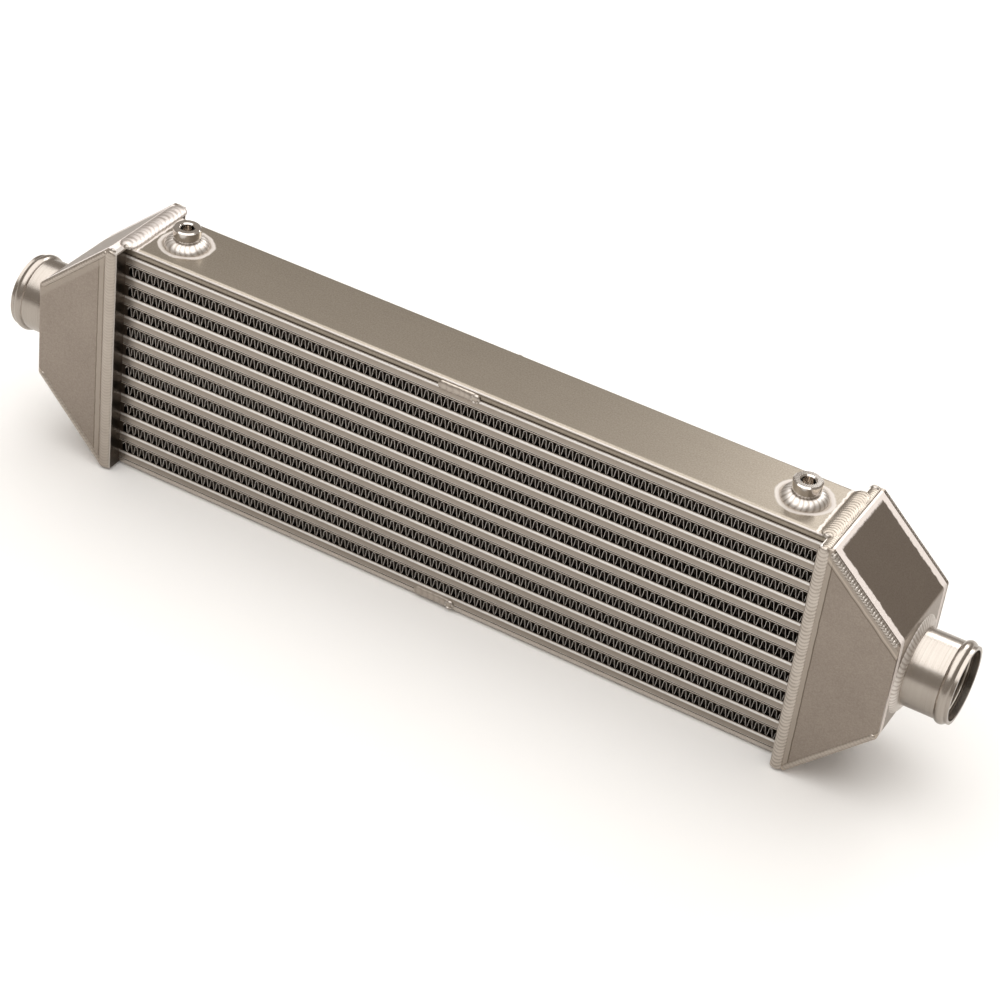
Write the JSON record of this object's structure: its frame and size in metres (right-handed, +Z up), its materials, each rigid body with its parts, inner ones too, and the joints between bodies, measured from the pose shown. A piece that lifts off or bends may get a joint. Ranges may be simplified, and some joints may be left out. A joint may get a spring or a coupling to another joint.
{
  "type": "intercooler",
  "caption": "Air-to-air intercooler: a long bar-and-plate core with corrugated air fins between two welded end tanks, each with a beaded hose stub, and threaded bosses on top.",
  "frame": {"origin": "middle of the underside of the bottom side plate, at the middle of the part's length and depth", "axes": "+X along the core towards the right tank, +Y from the front face to the rear face, +Z up towards the bosses"},
  "size_m": [0.777, 0.0902, 0.2087],
  "materials": {
    "side_plate": "satin rolled sheet",
    "bar": "extruded, dulled by brazing",
    "sheet_edge": "bright edge of braze-clad sheet",
    "air_fin": "thin folded sheet",
    "inner_fin": "thin folded sheet",
    "tank_sheet": "satin rolled sheet",
    "stub": "bright drawn tube",
    "boss": "turned",
    "weld": "rippled weld bead"
  },
  "bodies": {
    "root": {"top_plate": "side_plate", "bottom_plate": "side_plate", "parting_sheets": "sheet_edge", "charge_fins": "inner_fin", "centre_tacks": "weld", "front_bar_01": "bar", "front_bar_02": "bar", "front_bar_03": "bar", "front_bar_04": "bar", "front_bar_05": "bar", "front_bar_06": "bar", "front_bar_07": "bar", "front_bar_08": "bar", "front_bar_09": "bar", "front_bar_10": "bar", "front_bar_11": "bar", "rear_bar_01": "bar", "rear_bar_02": "bar", "rear_bar_03": "bar", "rear_bar_04": "bar", "rear_bar_05": "bar", "rear_bar_06": "bar", "rear_bar_07": "bar", "rear_bar_08": "bar", "rear_bar_09": "bar", "rear_bar_10": "bar", "rear_bar_11": "bar", "air_fin_01": "air_fin", "air_fin_02": "air_fin", "air_fin_03": "air_fin", "air_fin_04": "air_fin", "air_fin_05": "air_fin", "air_fin_06": "air_fin", "air_fin_07": "air_fin", "air_fin_08": "air_fin", "air_fin_09": "air_fin", "air_fin_10": "air_fin", "left_end_bars": "bar", "left_header_frame": "tank_sheet", "left_front_panel": "tank_sheet", "left_rear_panel": "tank_sheet", "left_folded_panel": "tank_sheet", "left_hose_stub": "stub", "left_boss": "boss", "left_core_weld": "weld", "left_seam_welds": "weld", "left_stub_weld": "weld", "left_boss_weld": "weld", "right_end_bars": "bar", "right_header_frame": "tank_sheet", "right_front_panel": "tank_sheet", "right_rear_panel": "tank_sheet", "right_folded_panel": "tank_sheet", "right_hose_stub": "stub", "right_boss": "boss", "right_core_weld": "weld", "right_seam_welds": "weld", "right_stub_weld": "weld", "right_boss_weld": "weld"}
  },
  "joints": []
}
